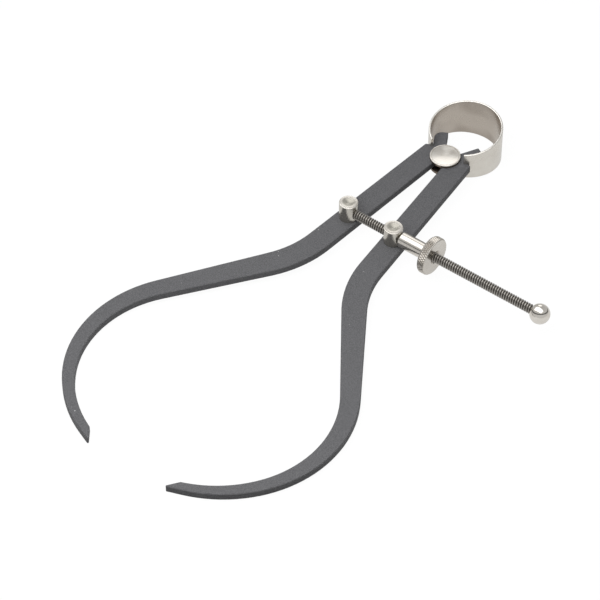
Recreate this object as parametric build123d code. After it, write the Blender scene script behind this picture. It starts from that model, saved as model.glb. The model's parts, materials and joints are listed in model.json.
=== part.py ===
from build123d import *
import math
import os

# Spring outside caliper, 203 mm from the fulcrum to the tips. Lengths are in millimetres, angles in degrees.
# X runs along the adjusting screw, Y runs from the tips to the bow spring, and Z is up from the flat legs.
# Each piece is drawn about the fulcrum's centre and then moved by one step, so that the origin ends up
# in the middle of the whole tool's box, at the height of its lowest point.

# Fits shared by several pieces
overrun = 2.0
pivot_clearance = 0.05
face_clearance = 0.1
seat_clearance = 0.1

# Legs: flat bars that lean outward, turn outward, run straight and bow inward to the tip
leg_thickness = 3.175
leg_lean = 5.25
leg_offset = 6.53
leg_width_top = 9.6
leg_width_bend = 10.0
leg_width_tip = 3.4
leg_upper_length = 68.8
leg_bend_radius = 44.6
leg_bend_angle = 29.7
leg_middle_length = 45.3
bow_upper_radius = 46.9
bow_upper_angle = 71.8
bow_lower_radius = 51.6
bow_lower_angle = 30.9
tip_land = 1.5
tip_cut = 5.7
tip_nose_radius = 0.4
leg_edge_chamfer = 0.25

# Legs: shoulder, notch and tail beside the fulcrum
shoulder_rise = 1.0
shoulder_slope = 22.0
shoulder_radius = 0.6
tail_lean = 28.8
tail_offset = 0.4
tail_width = 5.4
tail_length = 14.9
tail_end_radius = 3.2
tail_corner_radius = 0.4
notch_clearance = 0.25

# Fulcrum stud: a turned spool that the legs roll on
stud_barrel_diameter = 6.5
stud_flange_diameter = 12.7
stud_flange_thickness = 1.2
stud_dish_depth = 0.4
stud_rim = 0.45
stud_edge_chamfer = 0.25

# Bow spring: a tapered strip rolled into a bow, forked at both ends
bow_outer_diameter = 30.4
bow_strip_thickness = 0.9
bow_centre_rise = 14.28
bow_height_back = 18.2
bow_height_ends = 12.2
bow_end_angle = 147.5
bow_fork_length = 2.2
bow_edge_chamfer = 0.2

# Swivel posts, their shanks and washers
post_diameter = 7.7
left_post_height = 8.2
right_post_height = 7.6
post_below_fulcrum = 51.7
post_inset = 0.2
post_dish_diameter = 5.7
post_dish_depth = 0.45
post_edge_chamfer = 0.4
shank_diameter = 4.0
washer_diameter = 7.0
washer_thickness = 0.8
shank_head_diameter = 5.4
shank_head_end_diameter = 4.4
shank_head_height = 0.7

# Adjusting screw, nut and ball
screw_diameter = 3.97
screw_rise = 3.32
screw_reach = 92.0
nut_barrel_diameter = 6.5
nut_barrel_length = 12.9
nut_barrel_chamfer = 0.5
nut_disc_diameter = 15.875
nut_disc_thickness = 3.6
nut_disc_chamfer = 0.5
nut_countersink_diameter = 6.0
nut_countersink_depth = 0.9
ball_diameter = 8.2
ball_bore_depth = 5.0
ball_flat_depth = 0.75

# Sizes worked out from the ones above
half_thickness = leg_thickness / 2
bow_outer_radius = bow_outer_diameter / 2
bow_inner_radius = bow_outer_radius - bow_strip_thickness
bow_middle_radius = bow_outer_radius - bow_strip_thickness / 2
bow_root_angle = bow_end_angle - math.degrees(bow_fork_length / bow_middle_radius)
seat_radius = stud_barrel_diameter / 2 + pivot_clearance
screw_radius = screw_diameter / 2
screw_height = half_thickness + screw_rise


def polar(length, angle):
    """The vector of a length and an angle from +X."""
    return Vector(length * math.cos(math.radians(angle)), length * math.sin(math.radians(angle)))


def meet(point, angle, other_point, other_angle):
    """Where two lines cross, each given by a point and a direction."""
    along = polar(1, angle)
    other = polar(1, other_angle)
    gap = other_point - point
    cross = along.X * other.Y - along.Y * other.X
    return point + along * ((gap.X * other.Y - gap.Y * other.X) / cross)


def leg_runs():
    """Length, turn and end width of each run of the leg's middle line, from the fulcrum down to the tip."""
    bend = leg_bend_radius * math.radians(leg_bend_angle)
    upper = bow_upper_radius * math.radians(bow_upper_angle)
    lower = bow_lower_radius * math.radians(bow_lower_angle)
    tapered = leg_middle_length + upper + lower + tip_cut + tip_land

    def width(left):
        return leg_width_tip + (leg_width_bend - leg_width_tip) * left / tapered

    after_middle = tapered - leg_middle_length
    after_upper = after_middle - upper
    after_lower = after_upper - lower
    return [
        (leg_upper_length, 0, leg_width_top, leg_width_bend),
        (bend, leg_bend_angle, leg_width_bend, leg_width_bend),
        (leg_middle_length, 0, leg_width_bend, width(after_middle)),
        (upper, -bow_upper_angle, width(after_middle), width(after_upper)),
        (lower, -bow_lower_angle, width(after_upper), width(after_lower)),
        (tip_land, 0, width(after_lower), width(tip_cut)),
        (tip_cut, 0, width(tip_cut), leg_width_tip),
    ]


def leg_edge(side, runs):
    """Lines and arcs of one edge of the right leg, outer for side 1 and inner for side -1."""

    def beside(place, heading, width):
        return place + polar(side * width / 2, heading + 90)

    place = polar(leg_offset, leg_lean)
    heading = leg_lean - 90
    pieces = []
    for length, turn, width_start, width_end in runs:
        first = beside(place, heading, width_start)
        if turn:
            sign = math.copysign(1, turn)
            radius = length / math.radians(abs(turn))
            hub = place + polar(radius, heading + 90 * sign)
            middle = hub + polar(radius, heading + turn / 2 - 90 * sign)
            place = hub + polar(radius, heading + turn - 90 * sign)
            between = beside(middle, heading + turn / 2, (width_start + width_end) / 2)
            heading += turn
            pieces.append(ThreePointArc(first, between, beside(place, heading, width_end)))
        else:
            place = place + polar(length, heading)
            pieces.append(Line(first, beside(place, heading, width_end)))
    return pieces


def leg_blank():
    """Flat outline of the right leg with its shoulder, tail and obliquely cut tip."""
    runs = leg_runs()
    outer = leg_edge(1, runs)
    inner = leg_edge(-1, runs[:-1])
    up = leg_lean + 90
    shoulder = (outer[0] @ 0) + polar(shoulder_rise, up)
    tail_up = 90 - tail_lean
    tail_base = polar(tail_offset, tail_up - 90)
    tail_side = tail_base + polar(tail_width, tail_up - 90)
    hollow = meet(tail_side, tail_up, shoulder, 180 - shoulder_slope)
    crotch = meet(tail_base, tail_up, inner[0] @ 0, up)
    tail_tip = tail_base + polar(tail_length, tail_up)
    tail_corner = tail_side + polar(tail_length, tail_up)
    edges = list(outer)
    edges += inner
    edges.append(Line(outer[-1] @ 1, inner[-1] @ 1))
    edges.append(Line(inner[0] @ 0, crotch))
    edges.append(Line(crotch, tail_tip))
    edges.append(Line(tail_tip, tail_corner))
    edges.append(Line(tail_corner, hollow))
    edges.append(Line(hollow, shoulder))
    edges.append(Line(shoulder, outer[0] @ 0))
    face = make_face(edges)
    for point, radius in (
        (outer[-1] @ 1, tip_nose_radius),
        (tail_corner, tail_end_radius),
        (tail_tip, tail_corner_radius),
        (shoulder, shoulder_radius),
    ):
        corner = face.vertices().sort_by_distance(point)[0]
        face = fillet(corner, radius)
    return face


def notch_cutter():
    """A curved slot beside the strip's end, on the right side."""
    height = leg_thickness + 2 * overrun
    outer = Circle(bow_outer_radius + notch_clearance)
    inner = Circle(bow_inner_radius - notch_clearance)
    band = extrude(outer - inner, height)
    root = bow_root_angle + math.degrees(seat_clearance / bow_middle_radius)
    wedge = extrude(bow_wedge(90, root, bow_outer_radius + overrun), height)
    return Pos(0, bow_centre_rise, -height / 2) * (band & wedge)


def bow_wedge(start, end, radius):
    """A flat slice of the circle between two angles, measured from the back of the bow towards +X."""
    far = radius / math.cos(math.radians((end - start) / 2))
    points = [Vector(0, 0)]
    for angle in (start, (start + end) / 2, end):
        points.append(polar(far, 90 - angle))
    return make_face(Polyline(*points, close=True))


def post_place():
    """Centre of the right post on the leg."""
    along = leg_lean - 90
    middle = polar(leg_offset, leg_lean) + polar(post_below_fulcrum, along)
    return middle - polar(post_inset, leg_lean)


def right_leg():
    bar = extrude(leg_blank(), leg_thickness)
    bar = Pos(0, 0, -half_thickness) * bar
    rim = bar.edges().filter_by(lambda edge: abs(abs(edge.center().Z) - half_thickness) < leg_edge_chamfer)
    bar = chamfer(rim, leg_edge_chamfer)
    tall = leg_thickness + 2 * overrun
    bar -= Cylinder(seat_radius, tall)
    bar -= notch_cutter()
    bar -= Pos(*post_place()) * Cylinder(shank_diameter / 2 + pivot_clearance, tall)
    return bar


def turned_disc(diameter, height, edge_chamfer):
    """A turned disc standing on z = 0, with its upper edge broken."""
    disc = extrude(Circle(diameter / 2), height)
    return chamfer(disc.edges().sort_by(Axis.Z)[-1], edge_chamfer)


def saucer(height, dish_diameter, dish_depth):
    """The ball that hollows a disc's top like a shallow saucer. It lies on its side, its poles off the disc."""
    reach = dish_diameter / 2
    radius = (reach**2 + dish_depth**2) / (2 * dish_depth)
    return Pos(0, 0, height + radius - dish_depth) * Rot(90, 0, 0) * Sphere(radius)


def fulcrum_stud():
    """Turned spool with a dished flange above the legs and the same below."""
    barrel = leg_thickness + 2 * face_clearance
    flange = turned_disc(stud_flange_diameter, stud_flange_thickness, stud_edge_chamfer)
    flange -= saucer(stud_flange_thickness, stud_flange_diameter - 2 * stud_rim, stud_dish_depth)
    flange = Pos(0, 0, barrel / 2) * flange
    return Cylinder(stud_barrel_diameter / 2, barrel) + flange + mirror(flange, Plane.XY)


def bow_spring():
    """Strip bent round the fulcrum's back, its edges leaning so that it narrows towards its ends."""
    tall = bow_height_back + 2 * overrun
    ring = extrude(Circle(bow_outer_radius) - Circle(bow_inner_radius), tall)
    mouth = bow_wedge(bow_end_angle, 360 - bow_end_angle, bow_outer_radius + overrun)
    ring -= extrude(mouth, tall)
    ring = Pos(0, bow_centre_rise, -tall / 2) * ring
    back = bow_centre_rise + bow_outer_radius
    front = bow_centre_rise + bow_outer_radius * math.cos(math.radians(bow_end_angle))
    slope = (bow_height_back - bow_height_ends) / 2 / (back - front)
    past = overrun * slope
    side = Polyline(
        (back + overrun, bow_height_back / 2 + past),
        (front - overrun, bow_height_ends / 2 - past),
        (front - overrun, past - bow_height_ends / 2),
        (back + overrun, -bow_height_back / 2 - past),
        close=True,
    )
    profile = Plane.YZ * make_face(side)
    width = bow_outer_diameter + 2 * overrun
    strip = ring & Pos(-width / 2, 0, 0) * extrude(profile, width)
    outer_edges = strip.edges().sort_by(SortBy.LENGTH)[-2:]
    strip = chamfer(outer_edges, bow_edge_chamfer)
    gap = leg_thickness + 2 * face_clearance
    fork = bow_wedge(bow_root_angle, 180, bow_outer_radius + overrun)
    fork += mirror(fork, Plane.YZ)
    return strip - Pos(0, bow_centre_rise, -gap / 2) * extrude(fork, gap)


def post(height, bore_radius):
    """Swivel post standing on the leg, with its shank through the leg and riveted below the washer."""
    base = half_thickness + pivot_clearance
    rise = height - pivot_clearance
    body = turned_disc(post_diameter, rise, post_edge_chamfer) - saucer(rise, post_dish_diameter, post_dish_depth)
    solid = Pos(0, 0, base) * body
    washer_bottom = half_thickness + 2 * pivot_clearance + washer_thickness
    shank = base + washer_bottom
    solid += Pos(0, 0, base - shank) * extrude(Circle(shank_diameter / 2), shank)
    head = Cone(shank_head_end_diameter / 2, shank_head_diameter / 2, shank_head_height)
    solid += Pos(0, 0, -washer_bottom - shank_head_height / 2) * head
    return solid - Pos(0, 0, screw_height) * Rot(0, 90, 0) * Cylinder(bore_radius, post_diameter + overrun)


def post_washer():
    top = half_thickness + pivot_clearance
    ring = Circle(washer_diameter / 2) - Circle(shank_diameter / 2)
    return Pos(0, 0, -top) * extrude(ring, -washer_thickness)


def on_screw_axis(start, solid):
    """Lays a solid that was turned about Z along the screw, with its foot at start."""
    return Pos(start, 0, screw_height) * Rot(0, 90, 0) * solid


def adjusting_screw(left_end, right_end):
    return on_screw_axis(left_end, extrude(Circle(screw_radius), right_end - left_end))


def adjusting_nut(start):
    """One turned piece: a smooth barrel that bears on the right post, and the disc that the fingers turn."""
    barrel = extrude(Circle(nut_barrel_diameter / 2), nut_barrel_length)
    barrel = chamfer(barrel.edges().sort_by(Axis.Z)[0], nut_barrel_chamfer)
    disc = extrude(Circle(nut_disc_diameter / 2), nut_disc_thickness)
    disc = chamfer(disc.edges().filter_by(GeomType.CIRCLE), nut_disc_chamfer)
    nut = barrel + Pos(0, 0, nut_barrel_length) * disc
    length = nut_barrel_length + nut_disc_thickness
    bore = screw_radius + pivot_clearance
    nut -= Pos(0, 0, length / 2) * Cylinder(bore, length + overrun)
    sink = Cone(bore, nut_countersink_diameter / 2, nut_countersink_depth)
    nut -= Pos(0, 0, length - nut_countersink_depth / 2) * sink
    return on_screw_axis(start, nut)


def ball_end(centre):
    """Ball with a flat where the screw enters its blind bore."""
    radius = ball_diameter / 2
    ball = Pos(0, 0, radius) * Sphere(radius)
    ball -= Pos(0, 0, ball_flat_depth / 2) * Cylinder(radius, ball_flat_depth)
    ball -= extrude(Circle(screw_radius), ball_bore_depth)
    return on_screw_axis(centre - radius, ball)


def build():
    """Every piece by name, about the fulcrum's centre."""
    right = right_leg()
    place = post_place()
    at_right = Pos(place.X, place.Y, 0)
    at_left = Pos(-place.X, place.Y, 0)
    row = Pos(0, place.Y, 0)
    ball_centre = screw_reach - place.X
    screw_end = ball_centre - ball_diameter / 2 + ball_bore_depth
    screw_start = -place.X - post_diameter / 2 + post_edge_chamfer
    return {
        "left_leg": mirror(right, Plane.YZ),
        "right_leg": right,
        "fulcrum_stud": fulcrum_stud(),
        "bow_spring": bow_spring(),
        "left_post": at_left * post(left_post_height, screw_radius),
        "right_post": at_right * post(right_post_height, screw_radius + seat_clearance),
        "left_post_washer": at_left * post_washer(),
        "right_post_washer": at_right * post_washer(),
        "adjusting_screw": row * adjusting_screw(screw_start, screw_end),
        "adjusting_nut": row * adjusting_nut(place.X + post_diameter / 2 + seat_clearance),
        "ball_end": row * ball_end(ball_centre),
    }


pieces = build()
whole = Compound(list(pieces.values())).bounding_box()
home = Pos(-whole.center().X, -whole.center().Y, -whole.min.Z)
os.makedirs("parts", exist_ok=True)
for name, piece in pieces.items():
    export_step(home * piece, f"parts/{name}.step")
print("fulcrum at", home.position, "size", whole.size)
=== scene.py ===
import json
import math

import bmesh
import bpy
from mathutils import Matrix, Quaternion, Vector


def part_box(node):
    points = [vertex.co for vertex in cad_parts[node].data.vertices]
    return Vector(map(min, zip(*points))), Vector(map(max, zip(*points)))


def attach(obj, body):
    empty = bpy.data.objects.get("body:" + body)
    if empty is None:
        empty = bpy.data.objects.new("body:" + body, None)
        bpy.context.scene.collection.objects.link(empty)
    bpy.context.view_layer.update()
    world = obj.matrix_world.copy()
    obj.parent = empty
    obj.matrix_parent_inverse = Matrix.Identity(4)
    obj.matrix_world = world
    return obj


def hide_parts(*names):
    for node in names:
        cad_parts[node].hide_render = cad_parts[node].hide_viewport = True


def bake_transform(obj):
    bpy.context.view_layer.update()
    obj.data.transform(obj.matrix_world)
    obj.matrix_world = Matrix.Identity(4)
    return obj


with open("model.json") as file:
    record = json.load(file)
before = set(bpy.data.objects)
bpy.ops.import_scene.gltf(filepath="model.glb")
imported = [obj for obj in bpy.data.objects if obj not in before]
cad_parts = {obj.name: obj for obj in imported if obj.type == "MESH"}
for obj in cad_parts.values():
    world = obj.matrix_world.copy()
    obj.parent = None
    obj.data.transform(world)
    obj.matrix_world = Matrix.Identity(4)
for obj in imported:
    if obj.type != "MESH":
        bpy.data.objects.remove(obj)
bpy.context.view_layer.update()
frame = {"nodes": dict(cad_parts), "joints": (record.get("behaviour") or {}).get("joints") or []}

# Lengths are in metres and angles in degrees, but for the camera's own pixels and sensor
MM = 0.001

# Places read from the frame
JOINTS = {joint["name"]: joint for joint in frame["joints"]}
FULCRUM = Vector(JOINTS["right_leg_pivot"]["pos_m"])
RIGHT_POST = Vector(JOINTS["right_post_swivel"]["pos_m"])
LEFT_POST = Vector(JOINTS["left_post_swivel"]["pos_m"])
SCREW_LINE = Vector((0, RIGHT_POST.y, JOINTS["nut_spin"]["pos_m"][2]))
LEG_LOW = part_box("right_leg")[0].z
LEG_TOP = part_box("right_leg")[1].z

# The photograph's camera: its sensor is in millimetres, its focal length and middle in pixels
IMAGE_SIZE = 600
FOCAL_PIXELS = 2829.4
PRINCIPAL_PIXEL = (311.46, 287.78)
SENSOR_WIDTH = 36
CAMERA_AZIMUTH = 37.38
CAMERA_ELEVATION = 46.84
CAMERA_DISTANCE = 1104.6 * MM
# It looks at a point this far from the fulcrum towards the tips
AIM_TOWARDS_TIPS = 89.65 * MM

# Fulcrum stud
STUD_RIM = 0.45 * MM
STUD_DISH_DEPTH = 0.4 * MM
STUD_FLANGE = 1.2 * MM
STUD_BARREL_RADIUS = 3.25 * MM
STUD_EDGE = 0.3 * MM
STUD_NECK_FADE = 0.1 * MM
# A fine line of painted shade inside the stud's rim: its width and its share
STUD_CORNER_WIDTH = 0.22 * MM
STUD_CORNER_PAINTED_SHADE = 0.45

# Bow spring
BOW_CENTRE_RISE = 14.28 * MM
BOW_OUTER = 15.2 * MM
BOW_STRIP = 0.9 * MM
BOW_HEIGHT_BACK = 18.2 * MM
BOW_HEIGHT_ENDS = 12.2 * MM
BOW_END_ANGLE = 147.5
BOW_FORK = 2.2 * MM
BOW_FORK_STEPS = 4
BOW_GAP = 3.375 * MM
BOW_EDGE = 0.34 * MM
BOW_EDGE_STEPS = 5
BOW_STEPS = 96
# The sections lie closer and closer towards the back, so that no line shows where the halves meet
BOW_STEP_GROWTH = 1.6
# Both edges of a section are rounded on either side, and each wall has two more points
BOW_EDGE_POINTS = 2 * (BOW_EDGE_STEPS + 1)
BOW_SECTION_POINTS = 2 * BOW_EDGE_POINTS + 4
# A value at each point that grows from 0 on the outer wall to 1 on the inner wall
INNER_WALL = "inner_wall"

# Swivel posts
POST_RADIUS = 3.85 * MM
POST_EDGE = 0.35 * MM
POST_FOOT_EDGE = POST_EDGE / 4
POST_DISH_RADIUS = 2.85 * MM
POST_DISH_DEPTH = 0.45 * MM
# The posts' pans are darker, fading out towards the rim, and their sides a little darker
POST_PAN_FADE = 0.8 * MM
POST_SIDE_DARKENING = 0.6
POST_GAP = 0.05 * MM
SHANK_RADIUS = 2.0 * MM
SHANK_HEAD_RADIUS = 2.7 * MM
SHANK_HEAD_HEIGHT = 0.7 * MM
SHANK_HEAD_ROUNDING = 0.8 * SHANK_HEAD_HEIGHT
DRILL_LENGTH = 3 * POST_RADIUS

# Adjusting screw
THREAD_PITCH = 25.4 / 24 * MM
THREAD_RADIUS = 1.985 * MM
THREAD_DEPTH = 0.52 * MM
THREAD_SIDES = 24
# One flank from root to crest, as shares of the pitch and of the depth, and the other mirrors it
THREAD_FLANK = [(0.03, -0.06), (0.12, 0.1), (0.3, 0.84), (0.37, 0.98), (0.44, 1.0)]

# Adjusting nut
BORE_GAP = 0.05 * MM
SEAT_GAP = 0.1 * MM
NUT_BARREL_RADIUS = 3.25 * MM
NUT_BARREL_LENGTH = 12.9 * MM
NUT_BARREL_EDGE = 0.6 * MM
NUT_FILLET = 0.15 * MM
NUT_DISC_RADIUS = 7.9375 * MM
NUT_DISC_EDGE = 0.08 * MM
NUT_CHAMFER = 0.5 * MM
NUT_SINK_RADIUS = 3.0 * MM
NUT_SINK_DEPTH = 0.9 * MM
KNURL_COUNT = 48
KNURL_LEAN = 31
KNURL_DEPTH = 0.32 * MM
KNURL_FLAT = 0.78
KNURL_ROWS = 24
NUT_SIDES = 10 * KNURL_COUNT
# Shares of painted shade on the nut: in the knurl's grooves, at the bore and across the disc's faces
GROOVE_PAINTED_SHADE = 0.6
SINK_PAINTED_SHADE = 0.7
FACE_PAINTED_SHADE = 0.15

# Ball end
BALL_RADIUS = 4.1 * MM
BALL_FLAT = 0.75 * MM
BALL_STEPS = 56

# Sides of a turned piece, and the angle from which an edge between two faces stays sharp
ROUND = 128
SHARP_ANGLE = 32

# Colours as red, green, blue and alpha
WHITE = (1, 1, 1, 1)
COAT_DARK = (0.068, 0.068, 0.071, 1)
COAT_PALE = (0.142, 0.142, 0.148, 1)
COAT_CLOUD = (0.122, 0.122, 0.127, 1)
DUST = (0.42, 0.42, 0.42, 1)
NICKEL_DULL = (0.69, 0.65, 0.59, 1)
NICKEL_BRIGHT = (0.77, 0.74, 0.685, 1)
# Dark brown of the nut's painted shade
PAINTED_SHADE_BROWN = (0.105, 0.078, 0.056, 1)
# Paler brown of the stud's painted shade and oil
THIN_OIL_AND_PAINTED_SHADE = (0.22, 0.175, 0.14, 1)
# Darker tint of the posts' pans and sides
POST_DARK_TINT = (0.46, 0.44, 0.39, 1)
STRIP_DULL = (0.65, 0.615, 0.555, 1)
STRIP_BRIGHT = (0.74, 0.71, 0.65, 1)
# Paler tint on the strip's edges
STRIP_EDGE_PALE = (0.84, 0.81, 0.76, 1)
# The inner wall's darker browns are painted shade
STRIP_INSIDE_DARK = (0.305, 0.262, 0.222, 1)
STRIP_INSIDE_PALE = (0.5, 0.45, 0.394, 1)
# Darker in the thread's roots, paler on its crests
THREAD_ROOT_DARK = (0.14, 0.127, 0.115, 1)
THREAD_CREST_PALE = (0.4, 0.38, 0.35, 1)

# How fine each noise is, as its features in a metre, and how deep it goes where it is a relief
COAT_GRAIN = 2700
COAT_PEEL = 2400
COAT_PEEL_DEPTH = 0.12 * MM
COAT_CLOUDS = 90
COAT_SPECKS = 420
COAT_SPECK_AREAS = 160
TURNED_RINGS = 9000
TURNED_RING_DEPTH = 0.01 * MM
TURNED_CLOUDS = 260
STRIP_LINES = 5200
STRIP_LINE_DEPTH = 0.01 * MM
STRIP_CLOUDS = 120
# Patches in the inner wall's painted shade
STRIP_INSIDE_PATCHES = 55
THREAD_CLOUDS = 700
THREAD_PIT_DEPTH = 0.03 * MM
# Most of a noise lies between these
NOISE_LOW = 0.3
NOISE_HIGH = 0.7

# Floor, with the shares of glow in it as the camera and as metal see it
FLOOR_SIZE = 3.0
FLOOR_GAP = 0.05 * MM
FLOOR_ALBEDO = 0.36
FLOOR_GLOW = 1.12
FLOOR_SEEN = 0.86
FLOOR_IN_METAL = 0.61

# Metal sees a pale tent round a direction, a dark gap at its edge and a pale wall beyond it
TENT_AZIMUTH = 216
TENT_ELEVATION = 64
# The tones run from 0, straight opposite the tent, to 1 in its middle
TENT_TONES = [(0.0, 0.62), (0.56, 0.66), (0.6, 0.1), (0.65, 0.1), (0.7, 0.6), (1.0, 0.5)]
# Low behind the tool, metal sees a soft white patch: its middle, its outer and inner angle and its tone
BACKDROP_AZIMUTH = 214
BACKDROP_ELEVATION = 31
BACKDROP_ANGLES = (15, 10)
BACKDROP_TONE = 1.6
# The world's level as it lights matt surfaces
WORLD_DIFFUSE = 0.2

# Lamps, each at a direction and a distance from the fulcrum, with or without a reflection in metal
LAMPS = {
    "top_softbox": {
        "azimuth": 293, "elevation": 77, "turn": -28, "distance": 1.1, "size": (1.0, 2.2), "radiance": 1.45,
        "in_metal": True,
    },
    "front_fill": {
        "azimuth": 4, "elevation": 50, "turn": 0, "distance": 0.33, "size": (0.2, 0.2), "radiance": 4.6,
        "in_metal": False,
    },
}


# Mesh helpers

def new_piece(name, vertices, faces):
    """An object from plain lists, its normals outward and its faces smooth up to a sharp angle."""
    mesh = bpy.data.meshes.new(name)
    mesh.from_pydata(vertices, [], faces)
    work = bmesh.new()
    work.from_mesh(mesh)
    bmesh.ops.recalc_face_normals(work, faces=work.faces)
    work.to_mesh(mesh)
    work.free()
    smooth(mesh)
    piece = bpy.data.objects.new(name, mesh)
    bpy.context.scene.collection.objects.link(piece)
    return piece


def smooth(mesh):
    """Shades a mesh smooth, but for its sharp edges."""
    mesh.polygons.foreach_set("use_smooth", [True] * len(mesh.polygons))
    mesh.set_sharp_from_angle(angle=math.radians(SHARP_ANGLE))


def rounded(corners, steps=6):
    """Profile points from (radius, height, rounding) corners, each rounding drawn as a short arc."""
    points = []
    for index, (x, y, rounding) in enumerate(corners):
        here = Vector((x, y))
        if not rounding:
            points.append(here)
            continue
        back = (Vector(corners[index - 1][:2]) - here).normalized()
        onward = (Vector(corners[(index + 1) % len(corners)][:2]) - here).normalized()
        half = back.angle(onward) / 2
        centre = here + (back + onward).normalized() * (rounding / math.sin(half))
        first = here + back * (rounding / math.tan(half)) - centre
        last = here + onward * (rounding / math.tan(half)) - centre
        turn = first.angle(last)
        for step in range(steps + 1):
            share = step / steps
            mix = first * math.sin((1 - share) * turn) + last * math.sin(share * turn)
            points.append(centre + mix / math.sin(turn))
    return points


def dish(reach, depth, top, steps=16):
    """Points of a shallow round hollow, from just inside its rim to its middle."""
    radius = (reach**2 + depth**2) / (2 * depth)
    points = []
    for step in range(1, steps + 1):
        out = reach * (1 - step / steps)
        points.append(Vector((out, top - depth + radius - math.sqrt(radius**2 - out**2))))
    return points


def basin(reach, depth, top, steps=16):
    """Points of a shallow round hollow that starts level at its rim and ends level in its middle."""
    points = []
    for step in range(1, steps + 1):
        share = step / steps
        points.append(Vector((reach * (1 - share), top - depth * (1 - math.cos(math.pi * share)) / 2)))
    return points


def turned_point(place, radius, angle, height):
    """A point of a piece that is turned about Z and then put at a place."""
    return place @ Vector((radius * math.cos(angle), radius * math.sin(angle), height))


def lathe(name, profile, place, segments=ROUND, closed=False, shape=None):
    """Turns a profile of (radius, height) points about Z and puts it at a place.

    A point at radius 0 is a pole. A shape is a function that gives the radius all round, from the angle,
    the profile's radius and the height.
    """
    vertices = []
    rings = []
    for radius, height in profile:
        count = 1 if radius == 0 else segments
        rings.append([len(vertices) + k for k in range(count)])
        for k in range(count):
            angle = 2 * math.pi * k / segments
            out = shape(angle, radius, height) if shape else radius
            vertices.append(turned_point(place, out, angle, height))
    pairs = list(zip(rings, rings[1:]))
    if closed:
        pairs.append((rings[-1], rings[0]))
    faces = []
    for low, high in pairs:
        for k in range(segments):
            around = ((low, k), (low, k + 1), (high, k + 1), (high, k))
            corners = [ring[step % len(ring)] for ring, step in around]
            faces.append(list(dict.fromkeys(corners)))
    return new_piece(name, vertices, faces)


def upright(centre):
    """Stands a turned piece at a place."""
    return Matrix.Translation(centre)


def along_x(start):
    """Lays a turned piece along +X on the screw's line, its foot at that x."""
    foot = Vector((start, SCREW_LINE.y, SCREW_LINE.z))
    return Matrix.Translation(foot) @ Matrix.Rotation(math.pi / 2, 4, "Y")


def drill(piece, radius, length, place):
    """Cuts a round hole through a piece."""
    corners = [(0, -length / 2), (radius, -length / 2), (radius, length / 2), (0, length / 2)]
    cutter = lathe(piece.name + "_drill", corners, place)
    cut = piece.modifiers.new("drill", "BOOLEAN")
    cut.object = cutter
    cut.solver = "EXACT"
    whole = piece.evaluated_get(bpy.context.evaluated_depsgraph_get())
    mesh = bpy.data.meshes.new_from_object(whole)
    piece.modifiers.clear()
    piece.data = mesh
    bpy.data.objects.remove(cutter)
    smooth(mesh)


# Material helpers

class Graph:
    """A material's or the world's nodes, added and linked in short calls."""

    def __init__(self, owner):
        owner.use_nodes = True
        self.tree = owner.node_tree
        self.tree.nodes.clear()

    def add(self, kind, inputs, **settings):
        """A node, with each of its inputs linked to a socket or set to a value."""
        node = self.tree.nodes.new(kind)
        for key, value in settings.items():
            setattr(node, key, value)
        for key, value in inputs.items():
            if isinstance(value, bpy.types.NodeSocket):
                self.tree.links.new(value, node.inputs[key])
            else:
                node.inputs[key].default_value = value
        return node

    def math(self, operation, first, second=0.0):
        return self.add("ShaderNodeMath", {0: first, 1: second}, operation=operation).outputs[0]

    def vector(self, operation, first, second):
        return self.add("ShaderNodeVectorMath", {0: first, 1: second}, operation=operation)

    def place(self):
        return self.add("ShaderNodeTexCoord", {}).outputs["Object"]

    def coordinate(self, place, axis):
        return self.add("ShaderNodeSeparateXYZ", {"Vector": place}).outputs[axis]

    def noise(self, place, scale, detail=2.0, roughness=0.5):
        inputs = {"Vector": place, "Scale": scale, "Detail": detail, "Roughness": roughness}
        return self.add("ShaderNodeTexNoise", inputs).outputs["Fac"]

    def lines(self, value, scale, detail, roughness):
        """Noise that changes with one value only, and so lies in lines where that value stays the same."""
        inputs = {"W": value, "Scale": scale, "Detail": detail, "Roughness": roughness}
        return self.add("ShaderNodeTexNoise", inputs, noise_dimensions="1D").outputs["Fac"]

    def span(self, value, low, high, to_low, to_high):
        """Turns the range from low to high into another range, and stays within that."""
        inputs = {"Value": value, "From Min": low, "From Max": high, "To Min": to_low, "To Max": to_high}
        return self.add("ShaderNodeMapRange", inputs).outputs["Result"]

    def ramp(self, value, stops):
        """A colour from (position, colour) stops, which are in rising order."""
        node = self.add("ShaderNodeValToRGB", {"Fac": value})
        elements = node.color_ramp.elements
        for index, (position, colour) in enumerate(stops):
            element = elements[index] if index < 2 else elements.new(position)
            element.position = position
            element.color = colour
        return node.outputs["Color"]

    def blend(self, share, first, second):
        """Mixes two colours: inputs 6 and 7 and output 2 of the node are its colours."""
        return self.add("ShaderNodeMix", {0: share, 6: first, 7: second}, data_type="RGBA").outputs[2]

    def bump(self, height, distance, strength):
        inputs = {"Height": height, "Distance": distance, "Strength": strength}
        return self.add("ShaderNodeBump", inputs).outputs["Normal"]

    def surface(self, inputs):
        shader = self.add("ShaderNodeBsdfPrincipled", inputs)
        self.add("ShaderNodeOutputMaterial", {"Surface": shader.outputs[0]})


def grey(level):
    """A neutral colour."""
    return (level, level, level, 1)


def off_axis(graph, centre, axis):
    """Distance of a point from a piece's own turning axis, which is X or Z."""
    mask = (1, 1, 0) if axis == "Z" else (0, 1, 1)
    offset = graph.vector("SUBTRACT", graph.place(), tuple(centre)).outputs[0]
    across = graph.vector("MULTIPLY", offset, mask).outputs[0]
    return graph.vector("LENGTH", across, (0, 0, 0)).outputs["Value"]


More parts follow.
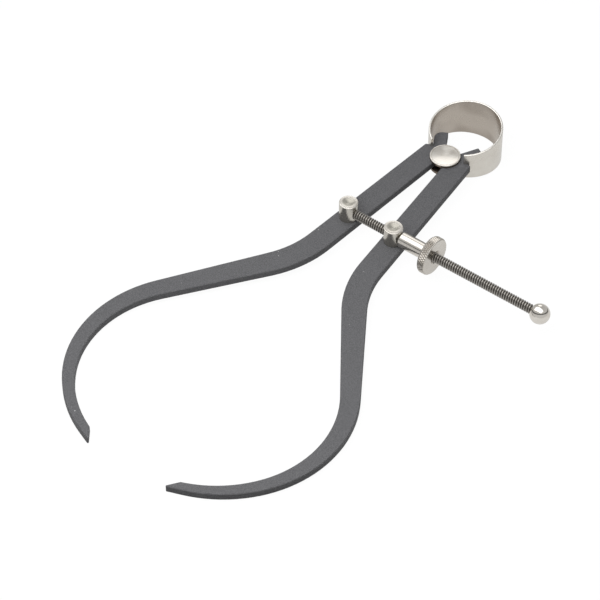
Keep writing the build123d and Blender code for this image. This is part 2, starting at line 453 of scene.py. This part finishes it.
def powder_coat():
    """Satin charcoal powder coat: fine grain, paler clouds and a few specks of dust."""
    material = bpy.data.materials.new("leg_coat")
    graph = Graph(material)
    place = graph.place()
    grain = graph.noise(place, COAT_GRAIN, detail=4, roughness=0.6)
    cloud = graph.noise(place, COAT_CLOUDS, detail=2)
    tone = graph.ramp(grain, [(0.36, COAT_DARK), (0.64, COAT_PALE)])
    cloudy = graph.blend(graph.span(cloud, 0.35, 0.7, 0, 0.35), tone, COAT_CLOUD)
    inputs = {"Vector": place, "Scale": COAT_SPECKS, "Randomness": 1.0}
    cells = graph.add("ShaderNodeTexVoronoi", inputs, feature="F1")
    near = graph.span(cells.outputs["Distance"], 0.07, 0.12, 1, 0)
    rare = graph.span(graph.noise(place, COAT_SPECK_AREAS, detail=1), 0.62, 0.66, 0, 1)
    speck = graph.math("MULTIPLY", near, rare)
    peel = graph.noise(place, COAT_PEEL, detail=3, roughness=0.6)
    graph.surface({
        "Base Color": graph.blend(speck, cloudy, DUST),
        "Roughness": graph.span(cloud, NOISE_LOW, NOISE_HIGH, 0.5, 0.6),
        "Specular IOR Level": 0.2,
        "Normal": graph.bump(peel, COAT_PEEL_DEPTH, 0.35),
    })
    return material


def turned_nickel(name, centre, axis, roughness=0.14, rings=0.3, darkening=None, tint=PAINTED_SHADE_BROWN):
    """Nickel over turned steel, with fine rings about the piece's own axis and a faint warm tarnish.

    A darkening is a function of the graph, the place and the distance off the axis that gives the tint's
    share; on the stud and the nut it is painted shade.
    """
    material = bpy.data.materials.new(name)
    graph = Graph(material)
    place = graph.place()
    out = off_axis(graph, centre, axis)
    ring = graph.lines(out, TURNED_RINGS, detail=3, roughness=0.6)
    cloud = graph.noise(place, TURNED_CLOUDS, detail=3)
    colour = graph.ramp(cloud, [(NOISE_LOW, NICKEL_DULL), (NOISE_HIGH, NICKEL_BRIGHT)])
    rough = graph.span(cloud, NOISE_LOW, NOISE_HIGH, roughness * 0.85, roughness * 1.25)
    if darkening:
        share = darkening(graph, place, out)
        colour = graph.blend(share, colour, tint)
        rough = graph.math("MAXIMUM", rough, graph.math("MULTIPLY", share, 0.4))
    graph.surface({
        "Base Color": colour,
        "Metallic": 1.0,
        "Roughness": rough,
        "Anisotropic": 0.6,
        "Anisotropic Rotation": 0.25,
        "Normal": graph.bump(ring, TURNED_RING_DEPTH, rings),
        "Tangent": graph.add("ShaderNodeTangent", {}, direction_type="RADIAL", axis=axis).outputs[0],
    })
    return material


def spring_nickel():
    """Satin nickel on rolled strip: lines that run round the bow, paler edges and a browner inner wall,
    whose darker brown is painted shade.
    """
    material = bpy.data.materials.new("spring_nickel")
    graph = Graph(material)
    place = graph.place()
    lines = graph.lines(graph.coordinate(place, "Z"), STRIP_LINES, detail=4, roughness=0.65)
    cloud = graph.noise(place, STRIP_CLOUDS, detail=3, roughness=0.55)
    darkening = graph.noise(place, STRIP_INSIDE_PATCHES, detail=2)
    outer = graph.ramp(cloud, [(NOISE_LOW, STRIP_DULL), (NOISE_HIGH, STRIP_BRIGHT)])
    # Painted shade: the inner wall's darker browns, in patches
    inner = graph.ramp(darkening, [(0.4, STRIP_INSIDE_DARK), (0.62, STRIP_INSIDE_PALE)])
    wall = graph.add("ShaderNodeAttribute", {}, attribute_name=INNER_WALL).outputs["Fac"]
    paler = graph.blend(graph.span(wall, 0.02, 0.12, 0, 1), outer, STRIP_EDGE_PALE)
    graph.surface({
        "Base Color": graph.blend(graph.span(wall, 0.93, 1, 0, 1), paler, inner),
        "Metallic": 1.0,
        "Roughness": graph.span(cloud, NOISE_LOW, NOISE_HIGH, 0.24, 0.32),
        "Normal": graph.bump(lines, STRIP_LINE_DEPTH, 0.25),
    })
    return material


def screw_steel():
    """Dark steel, darker in the thread's roots and paler on its crests."""
    material = bpy.data.materials.new("screw_steel")
    graph = Graph(material)
    out = off_axis(graph, SCREW_LINE, "X")
    crest = graph.span(out, THREAD_RADIUS - 0.7 * THREAD_DEPTH, THREAD_RADIUS - 0.15 * THREAD_DEPTH, 0, 1)
    cloud = graph.noise(graph.place(), THREAD_CLOUDS, detail=4, roughness=0.6)
    paler = graph.math("MULTIPLY", crest, graph.span(cloud, NOISE_LOW, NOISE_HIGH, 0.75, 1.0))
    graph.surface({
        "Base Color": graph.blend(paler, THREAD_ROOT_DARK, THREAD_CREST_PALE),
        "Metallic": 0.9,
        "Roughness": graph.span(crest, 0, 1, 0.5, 0.28),
        "Normal": graph.bump(cloud, THREAD_PIT_DEPTH, 0.25),
    })
    return material


def dress(piece, material):
    """Gives a piece its one material."""
    piece.data.materials.clear()
    piece.data.materials.append(material)


# Pieces

def cad_pieces():
    """The legs and washers keep their solids and get their finish."""
    coat = powder_coat()
    for leg in ("left_leg", "right_leg"):
        dress(frame["nodes"][leg], coat)
    for node, centre in (("left_post_washer", LEFT_POST), ("right_post_washer", RIGHT_POST)):
        material = turned_nickel(node + "_nickel", centre, "Z", roughness=0.25)
        dress(frame["nodes"][node], material)


def fulcrum_stud():
    """Turned spool: a dished flange above the legs and its twin below."""
    low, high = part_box("fulcrum_stud")
    reach = (high.x - low.x) / 2
    top = (high.z - low.z) / 2
    under = top - STUD_FLANGE
    upper = rounded([
        (STUD_BARREL_RADIUS, 0, 0),
        (STUD_BARREL_RADIUS, under, 0),
        (reach, under, STUD_EDGE / 2),
        (reach, top, STUD_EDGE),
        (reach - STUD_RIM, top, 0),
    ]) + dish(reach - STUD_RIM, STUD_DISH_DEPTH, top)
    lower = [Vector((point.x, -point.y)) for point in reversed(upper[1:])]
    stud = lathe("turned_stud", lower + upper, upright(FULCRUM))

    def painted_shade_and_oil(graph, place, out):
        """Painted shade, with some oil, in the neck; painted shade on the flanges' sides and in a fine line
        inside the rims.
        """
        height = graph.math("SUBTRACT", graph.coordinate(place, "Z"), FULCRUM.z)
        neck = graph.span(graph.math("ABSOLUTE", height), under, under + STUD_NECK_FADE, 1, 0)
        below_edge = graph.math("LESS_THAN", height, top - STUD_EDGE)
        outermost = graph.math("LESS_THAN", reach - STUD_EDGE, out)
        sides = graph.math("MULTIPLY", below_edge, outermost)
        off_corner = graph.math("SUBTRACT", out, reach - STUD_RIM - STUD_CORNER_WIDTH)
        corner = graph.span(graph.math("ABSOLUTE", off_corner), 0, STUD_CORNER_WIDTH, STUD_CORNER_PAINTED_SHADE, 0)
        return graph.math("MAXIMUM", corner, graph.math("MAXIMUM", neck, sides))

    material = turned_nickel(
        "stud_nickel", FULCRUM, "Z", roughness=0.2, rings=0.4, darkening=painted_shade_and_oil, tint=THIN_OIL_AND_PAINTED_SHADE
    )
    dress(stud, material)
    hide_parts("fulcrum_stud")
    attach(stud, "fulcrum")


def bow_section(angle):
    """The strip's section at an angle from the bow's back, from the middle of its inner wall all round.

    The points go up the inner wall, over the top edge, down the outer wall and back under the bottom edge.
    """
    back = BOW_CENTRE_RISE + BOW_OUTER
    front = BOW_CENTRE_RISE + BOW_OUTER * math.cos(math.radians(BOW_END_ANGLE))
    slope = (BOW_HEIGHT_BACK - BOW_HEIGHT_ENDS) / 2 / (back - front)

    def point(radius, from_edge, side, row=None):
        y = BOW_CENTRE_RISE + radius * math.cos(angle)
        half = BOW_HEIGHT_BACK / 2 - (back - y) * slope
        height = row if row is not None else half - from_edge
        return Vector((radius * math.sin(angle), y, side * height))

    inner = BOW_OUTER - BOW_STRIP
    arc = []
    for step in range(BOW_EDGE_STEPS + 1):
        turn = math.radians(90 * step / BOW_EDGE_STEPS)
        arc.append((inner + BOW_EDGE * (1 - math.cos(turn)), BOW_EDGE * (1 - math.sin(turn))))
    arc += [(2 * BOW_OUTER - BOW_STRIP - radius, depth) for radius, depth in reversed(arc)]
    top = [point(radius, depth, 1) for radius, depth in arc]
    bottom = [point(radius, depth, -1) for radius, depth in reversed(arc)]
    rows = [-BOW_GAP / 2, BOW_GAP / 2]
    inner_rows = [point(inner, 0, 1, row) for row in rows]
    outer_rows = [point(BOW_OUTER, 0, 1, row) for row in reversed(rows)]
    return inner_rows + top + outer_rows + bottom


def bow_faces():
    """Faces between the sections of half a bow, which parts into two prongs over the last few."""
    inner_low = 0
    inner_high = 1
    outer_high = inner_high + BOW_EDGE_POINTS + 1
    outer_low = outer_high + 1
    count = BOW_SECTION_POINTS
    last = BOW_STEPS + BOW_FORK_STEPS
    faces = []
    for step in range(last):
        forked = step >= BOW_STEPS
        here = step * count
        after = here + count
        for k in range(count):
            following = (k + 1) % count
            if forked and k in (inner_low, outer_high):
                continue
            faces.append([here + k, here + following, after + following, after + k])
        if forked:
            for inner, outer in ((inner_high, outer_high), (inner_low, outer_low)):
                faces.append([here + inner, here + outer, after + outer, after + inner])
    start = BOW_STEPS * count
    end = last * count
    faces.append(list(range(count)))
    faces.append([start + k for k in (inner_low, inner_high, outer_high, outer_low)])
    faces.append([end + k for k in range(inner_high, outer_high + 1)])
    faces.append([end + k for k in range(outer_low, count)] + [end + inner_low])
    return faces


def bow_half(side, leg):
    """Half of the bow, from its back to its forked end at a leg."""
    root = BOW_END_ANGLE - math.degrees(BOW_FORK / (BOW_OUTER - BOW_STRIP / 2))
    angles = [root * (step / BOW_STEPS) ** BOW_STEP_GROWTH for step in range(BOW_STEPS + 1)]
    for step in range(BOW_FORK_STEPS):
        angles.append(root + (BOW_END_ANGLE - root) * (step + 1) / BOW_FORK_STEPS)
    vertices = []
    inward = []
    for angle in angles:
        for local in bow_section(math.radians(angle)):
            vertices.append(Vector((side * local.x, local.y, local.z)) + FULCRUM)
            radius = math.hypot(local.x, local.y - BOW_CENTRE_RISE)
            inward.append((BOW_OUTER - radius) / BOW_STRIP)
    half = new_piece("bow_" + leg, vertices, bow_faces())
    half.data.attributes.new(INNER_WALL, "FLOAT", "POINT").data.foreach_set("value", inward)
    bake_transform(half)
    return half


def bow_spring():
    """The bow's two halves, which stand for one strip."""
    material = spring_nickel()
    for side, leg in ((1, "right_leg"), (-1, "left_leg")):
        half = bow_half(side, leg)
        dress(half, material)
        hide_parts("bow_spring")


def swivel_post(node, centre, body, bore):
    """Turned post with a thick rounded rim, a dished top and a riveted shank, drilled for the screw."""
    low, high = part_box(node)
    base = LEG_TOP + POST_GAP - centre.z
    top = high.z - centre.z
    foot = low.z - centre.z
    seat = foot + SHANK_HEAD_HEIGHT
    corners = [
        (0, foot, 0),
        (SHANK_HEAD_RADIUS, foot, SHANK_HEAD_ROUNDING),
        (SHANK_HEAD_RADIUS, seat, 0),
        (SHANK_RADIUS, seat, 0),
        (SHANK_RADIUS, base, 0),
        (POST_RADIUS, base, POST_FOOT_EDGE),
        (POST_RADIUS, top, POST_EDGE),
        (POST_DISH_RADIUS, top, 0),
    ]
    profile = rounded(corners) + basin(POST_DISH_RADIUS, POST_DISH_DEPTH, top)
    post = lathe("turned_" + node, profile, upright(centre))
    drill(post, bore, DRILL_LENGTH, along_x(centre.x))

    def pan_and_sides(graph, place, out):
        """Darker in the dish's pan and, less of it, on the sides."""
        height = graph.math("SUBTRACT", graph.coordinate(place, "Z"), centre.z)
        pan = graph.span(out, POST_DISH_RADIUS - POST_PAN_FADE, POST_DISH_RADIUS, 1, 0)
        sides = graph.span(height, top - POST_EDGE, top - POST_EDGE / 2, POST_SIDE_DARKENING, 0)
        return graph.math("MAXIMUM", pan, sides)

    material = turned_nickel(
        node + "_nickel", centre, "Z", roughness=0.22, rings=0.35, darkening=pan_and_sides, tint=POST_DARK_TINT
    )
    dress(post, material)
    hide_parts(node)
    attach(post, body)


def core_rod(place, length):
    """Points and faces of the plain rod under the thread."""
    radius = THREAD_RADIUS - THREAD_DEPTH
    points = []
    faces = []
    for height in (0, length):
        for k in range(THREAD_SIDES):
            points.append(turned_point(place, radius, 2 * math.pi * k / THREAD_SIDES, height))
    for k in range(THREAD_SIDES):
        following = (k + 1) % THREAD_SIDES
        faces.append([k, following, THREAD_SIDES + following, THREAD_SIDES + k])
    faces.append(list(range(THREAD_SIDES)))
    faces.append(list(range(THREAD_SIDES, 2 * THREAD_SIDES)))
    return points, faces


def thread_ridge(place, length, first):
    """Points and faces of the helical ridge, which rises and sinks again over one turn at either end.

    The faces count the ridge's points from first on.
    """
    section = THREAD_FLANK + [(1 - share, rise) for share, rise in reversed(THREAD_FLANK)]
    count = len(section)
    steps = int((length / THREAD_PITCH - 1) * THREAD_SIDES)
    points = []
    faces = []
    for step in range(steps + 1):
        angle = 2 * math.pi * step / THREAD_SIDES
        ends = min(1, step / THREAD_SIDES, (steps - step) / THREAD_SIDES)
        for share, rise in section:
            out = THREAD_RADIUS - THREAD_DEPTH + THREAD_DEPTH * rise * (ends if rise > 0 else 1)
            points.append(turned_point(place, out, angle, (step / THREAD_SIDES + share) * THREAD_PITCH))
    for step in range(steps):
        here = first + step * count
        for k in range(count):
            following = (k + 1) % count
            faces.append([here + k, here + following, here + count + following, here + count + k])
    faces.append([first + k for k in range(count)])
    faces.append([first + steps * count + k for k in range(count)])
    return points, faces


def threaded_screw():
    """Core rod with one helical ridge along it, whose crest is slightly rounded."""
    low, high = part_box("adjusting_screw")
    length = high.x - low.x
    place = along_x(low.x)
    rod_points, rod_faces = core_rod(place, length)
    ridge_points, ridge_faces = thread_ridge(place, length, len(rod_points))
    screw = new_piece("threaded_screw", rod_points + ridge_points, rod_faces + ridge_faces)
    dress(screw, screw_steel())
    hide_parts("adjusting_screw")
    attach(screw, "screw")


def knurl(angle, radius, height):
    """Radius of the disc's rim where two crossing families of grooves are rolled into it."""
    if radius < NUT_DISC_RADIUS - NUT_CHAMFER / 2 or height < NUT_BARREL_LENGTH:
        return radius
    around = KNURL_COUNT * angle / (2 * math.pi)
    pitch = 2 * math.pi * NUT_DISC_RADIUS / KNURL_COUNT
    along = height * math.tan(math.radians(KNURL_LEAN)) / pitch
    ridge = KNURL_FLAT
    for phase in (around + along, around - along):
        ridge = min(ridge, 1 - abs(2 * (phase % 1) - 1))
    return min(radius, NUT_DISC_RADIUS - KNURL_DEPTH * (1 - ridge / KNURL_FLAT))


def nut_profile(length, rim_start, rim):
    """The nut's section, from its bore's foot over the barrel and disc, with rows for the knurl."""
    bore = THREAD_RADIUS + BORE_GAP
    before = rounded([
        (bore, 0, 0),
        (NUT_BARREL_RADIUS, 0, NUT_BARREL_EDGE),
        (NUT_BARREL_RADIUS, NUT_BARREL_LENGTH, NUT_FILLET),
        (NUT_DISC_RADIUS - NUT_CHAMFER, NUT_BARREL_LENGTH, NUT_DISC_EDGE),
        (NUT_DISC_RADIUS, rim_start, 0),
    ])
    middle = []
    for row in range(KNURL_ROWS):
        middle.append(Vector((NUT_DISC_RADIUS, rim_start + rim * (row + 1) / KNURL_ROWS)))
    after = rounded([
        (NUT_DISC_RADIUS, length - NUT_CHAMFER, 0),
        (NUT_DISC_RADIUS - NUT_CHAMFER, length, NUT_DISC_EDGE),
        (NUT_SINK_RADIUS, length, NUT_DISC_EDGE),
        (bore, length - NUT_SINK_DEPTH, 0),
    ])[1:]
    return before + middle + after


def adjusting_nut():
    """One turned piece: a smooth barrel, and a knurled disc with a countersunk bore."""
    low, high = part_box("adjusting_nut")
    length = high.x - low.x
    rim_start = NUT_BARREL_LENGTH + NUT_CHAMFER
    rim = length - NUT_CHAMFER - rim_start
    profile = nut_profile(length, rim_start, rim)
    nut = lathe("knurled_nut", profile, along_x(low.x), NUT_SIDES, closed=True, shape=knurl)

    def painted_shade_and_oil(graph, place, out):
        """Painted shade in the knurl's grooves and across the disc's faces, most of it in the countersink at
        the bore.
        """
        along = graph.coordinate(place, "X")
        disc = graph.math("LESS_THAN", low.x + NUT_BARREL_LENGTH, along)
        after_start = graph.math("LESS_THAN", low.x + rim_start, along)
        on_rim = graph.math("MULTIPLY", after_start, graph.math("LESS_THAN", along, low.x + rim_start + rim))
        outermost = graph.math("LESS_THAN", NUT_DISC_RADIUS - 2 * KNURL_DEPTH, out)
        groove = graph.span(out, NUT_DISC_RADIUS - KNURL_DEPTH, NUT_DISC_RADIUS, GROOVE_PAINTED_SHADE, 0)
        knurled = graph.math("MULTIPLY", groove, graph.math("MULTIPLY", on_rim, outermost))
        sink = graph.span(out, THREAD_RADIUS, NUT_SINK_RADIUS, SINK_PAINTED_SHADE, FACE_PAINTED_SHADE)
        return graph.math("MAXIMUM", graph.math("MULTIPLY", disc, sink), knurled)

    material = turned_nickel("nut_nickel", SCREW_LINE, "X", roughness=0.24, darkening=painted_shade_and_oil)
    dress(nut, material)
    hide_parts("adjusting_nut")
    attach(nut, "nut")


def ball_end():
    """Bright ball with a small flat round the screw."""
    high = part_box("ball_end")[1]
    flat_angle = math.acos(-(BALL_RADIUS - BALL_FLAT) / BALL_RADIUS)
    profile = [Vector((0, BALL_FLAT))]
    for step in range(BALL_STEPS + 1):
        angle = flat_angle * (1 - step / BALL_STEPS)
        radius = BALL_RADIUS * math.sin(angle) if step < BALL_STEPS else 0
        profile.append(Vector((radius, BALL_RADIUS + BALL_RADIUS * math.cos(angle))))
    ball = lathe("bright_ball", profile, along_x(high.x - 2 * BALL_RADIUS))
    material = turned_nickel("ball_nickel", SCREW_LINE, "X", roughness=0.09, rings=0.12)
    dress(ball, material)
    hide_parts("ball_end")
    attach(ball, "screw")


# Stage, light and camera

def direction(azimuth, elevation):
    """Unit vector towards an azimuth, 0 at -Y and 90 at +X, and an elevation."""
    a = math.radians(azimuth)
    e = math.radians(elevation)
    return Vector((math.sin(a) * math.cos(e), -math.cos(a) * math.cos(e), math.sin(e)))


def make_floor():
    """The table top, a hair under the bow's back edge and the tips, on which the tool lies."""
    back = FULCRUM.y + BOW_CENTRE_RISE + BOW_OUTER
    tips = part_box("right_leg")[0].y
    slope = (LEG_LOW - FLOOR_GAP) / (back - tips)
    half = FLOOR_SIZE / 2
    corners = []
    for x, y in ((-half, -half), (half, -half), (half, half), (-half, half)):
        corners.append((x, y, (back - y) * slope - FLOOR_GAP))
    mesh = bpy.data.meshes.new("floor")
    mesh.from_pydata(corners, [], [[0, 1, 2, 3]])
    floor = bpy.data.objects.new("floor", mesh)
    bpy.context.scene.collection.objects.link(floor)
    floor.data.materials.append(floor_paper())


def floor_paper():
    """Paper that mostly glows to the camera and to metal, and is plain darker paper to the light."""
    material = bpy.data.materials.new("floor_paper")
    graph = Graph(material)
    rays = graph.add("ShaderNodeLightPath", {})
    seen = graph.math("MAXIMUM", rays.outputs["Is Camera Ray"], rays.outputs["Is Transmission Ray"])
    shiny = graph.math("MULTIPLY", rays.outputs["Is Glossy Ray"], FLOOR_IN_METAL)
    share = graph.math("MAXIMUM", graph.math("MULTIPLY", seen, FLOOR_SEEN), shiny)
    paper = graph.add("ShaderNodeBsdfDiffuse", {"Color": grey(FLOOR_ALBEDO)})
    glow = graph.add("ShaderNodeEmission", {"Color": WHITE, "Strength": FLOOR_GLOW})
    mix = graph.add("ShaderNodeMixShader", {0: share, 1: paper.outputs[0], 2: glow.outputs[0]})
    graph.add("ShaderNodeOutputMaterial", {"Surface": mix.outputs[0]})
    return material


def make_world():
    """White to the camera, a soft studio in reflections and a plain lower level as light."""
    world = bpy.data.worlds.new("studio")
    bpy.context.scene.world = world
    graph = Graph(world)
    rays = graph.add("ShaderNodeLightPath", {})
    way = graph.add("ShaderNodeTexCoord", {}).outputs["Generated"]
    tent = tuple(direction(TENT_AZIMUTH, TENT_ELEVATION))
    towards = graph.vector("DOT_PRODUCT", way, tent).outputs["Value"]
    stops = [(position, grey(tone)) for position, tone in TENT_TONES]
    tones = graph.ramp(graph.span(towards, -1, 1, 0, 1), stops)
    backdrop = tuple(direction(BACKDROP_AZIMUTH, BACKDROP_ELEVATION))
    nearness = graph.vector("DOT_PRODUCT", way, backdrop).outputs["Value"]
    cosines = [math.cos(math.radians(angle)) for angle in BACKDROP_ANGLES]
    studio = graph.blend(graph.span(nearness, *cosines, 0, 1), tones, grey(BACKDROP_TONE))
    mirrored = graph.math("MAXIMUM", rays.outputs["Is Glossy Ray"], rays.outputs["Is Transmission Ray"])
    light = graph.blend(mirrored, grey(WORLD_DIFFUSE), studio)
    colour = graph.blend(rays.outputs["Is Camera Ray"], light, WHITE)
    sky = graph.add("ShaderNodeBackground", {"Color": colour, "Strength": 1.0})
    graph.add("ShaderNodeOutputWorld", {"Surface": sky.outputs[0]})


def make_lamps():
    """The lamps, each facing the fulcrum."""
    for name, lamp in LAMPS.items():
        width, height = lamp["size"]
        data = bpy.data.lights.new(name, "AREA")
        data.shape = "RECTANGLE"
        data.size = width
        data.size_y = height
        data.energy = lamp["radiance"] * math.pi * width * height
        light = bpy.data.objects.new(name, data)
        light.visible_glossy = lamp["in_metal"]
        bpy.context.scene.collection.objects.link(light)
        towards = direction(lamp["azimuth"], lamp["elevation"])
        light.location = FULCRUM + towards * lamp["distance"]
        light.rotation_mode = "QUATERNION"
        turn = Quaternion((0, 0, 1), math.radians(lamp["turn"]))
        light.rotation_quaternion = (-towards).to_track_quat("-Z", "Y") @ turn


def make_camera():
    """The camera where the photograph was taken from."""
    data = bpy.data.cameras.new("camera")
    data.sensor_width = SENSOR_WIDTH
    data.lens = FOCAL_PIXELS / IMAGE_SIZE * SENSOR_WIDTH
    data.shift_x = (IMAGE_SIZE / 2 - PRINCIPAL_PIXEL[0]) / IMAGE_SIZE
    data.shift_y = (PRINCIPAL_PIXEL[1] - IMAGE_SIZE / 2) / IMAGE_SIZE
    camera = bpy.data.objects.new("camera", data)
    bpy.context.scene.collection.objects.link(camera)
    towards = direction(CAMERA_AZIMUTH, CAMERA_ELEVATION)
    camera.location = FULCRUM - Vector((0, AIM_TOWARDS_TIPS, 0)) + towards * CAMERA_DISTANCE
    camera.rotation_mode = "QUATERNION"
    camera.rotation_quaternion = (-towards).to_track_quat("-Z", "Y")
    bpy.context.scene.camera = camera


bpy.context.scene.view_settings.view_transform = "Standard"
cad_pieces()
fulcrum_stud()
bow_spring()
swivel_post("left_post", LEFT_POST, "screw", THREAD_RADIUS)
swivel_post("right_post", RIGHT_POST, "right_post", THREAD_RADIUS + SEAT_GAP)
threaded_screw()
adjusting_nut()
ball_end()
make_floor()
make_world()
make_lamps()
make_camera()
